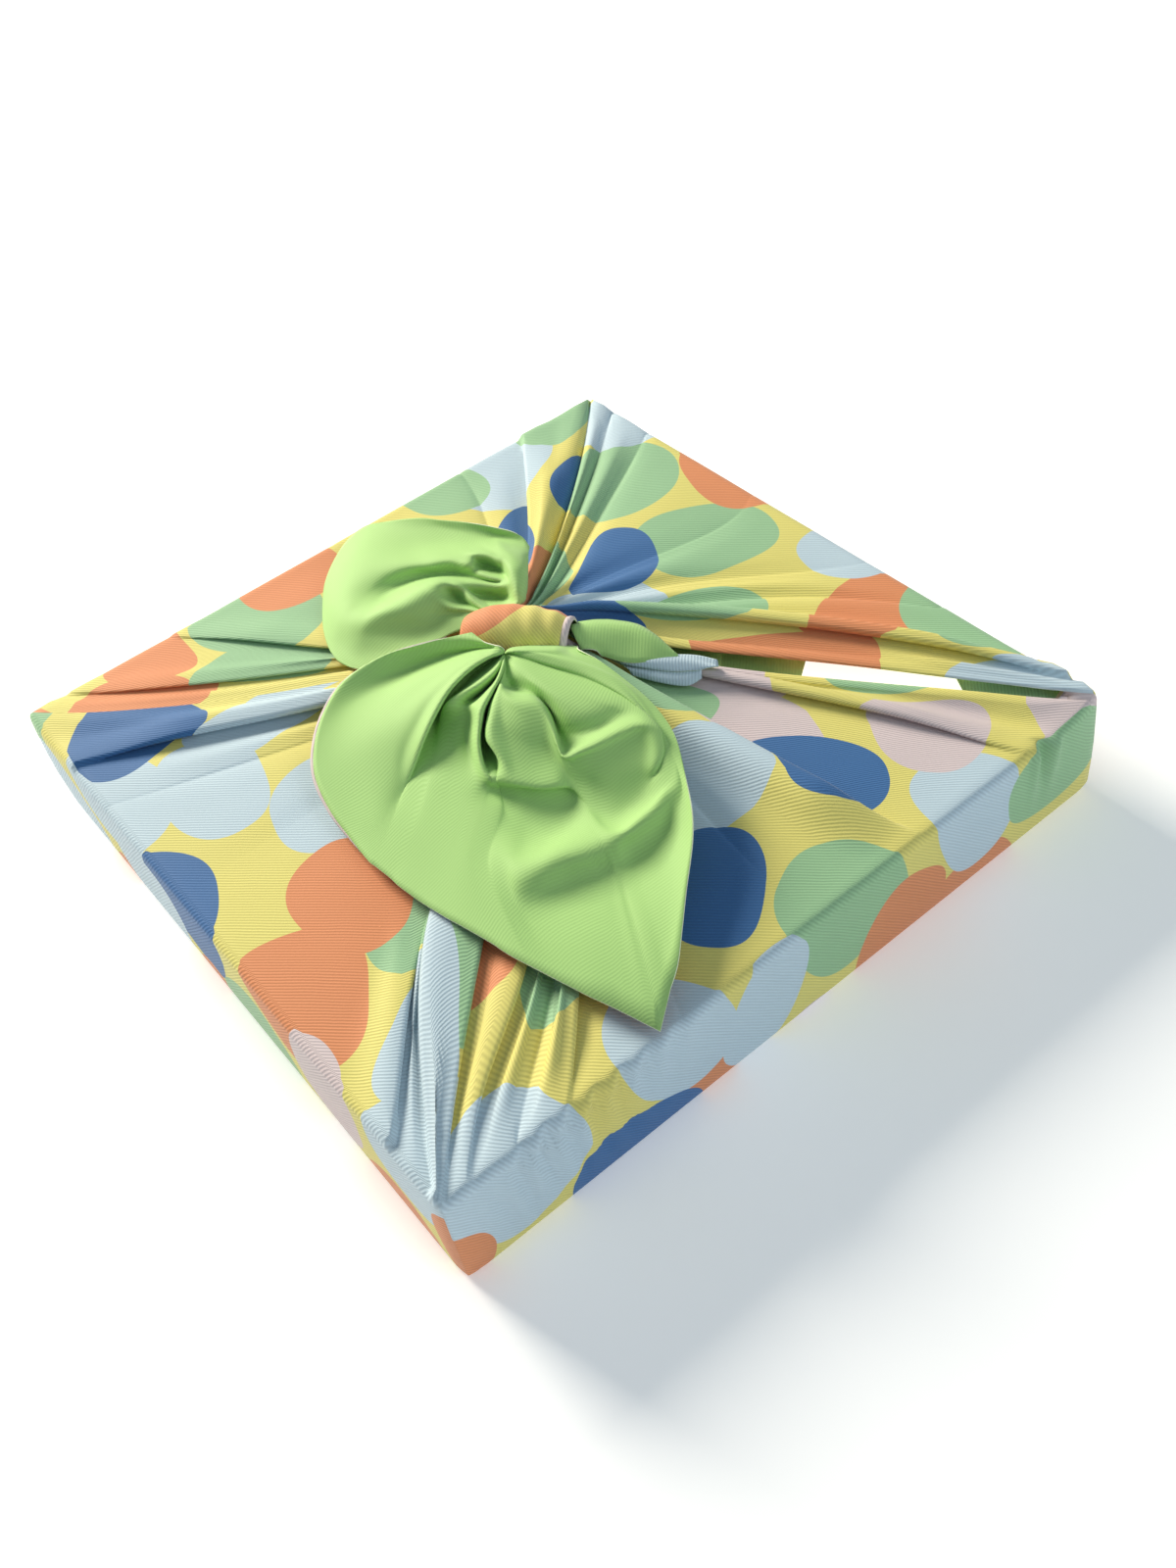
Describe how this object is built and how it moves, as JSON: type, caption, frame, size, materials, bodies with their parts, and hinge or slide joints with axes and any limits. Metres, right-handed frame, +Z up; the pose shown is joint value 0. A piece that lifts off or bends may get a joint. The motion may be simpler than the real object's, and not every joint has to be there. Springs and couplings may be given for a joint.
{
  "type": "furoshiki wrap on a square gift box",
  "caption": "Square cloth gathered over a flat square box and tied on top, with one knot and two free leaf-shaped tails.",
  "frame": {"origin": "middle of the parcel's underside, on the surface that it stands on", "axes": "+Z up; +X and +Y along the box's sides, the longer free tail pointing towards -Y"},
  "size_m": [0.27, 0.27, 0.0688],
  "materials": {
    "printed_cloth": "smooth twill, printed with overlapping pebbles on yellow, plain lime green on the reverse",
    "white_board": "plain white coated board"
  },
  "bodies": {
    "root": {"wrapping_cloth": "printed_cloth", "gift_box": "white_board"}
  },
  "joints": []
}
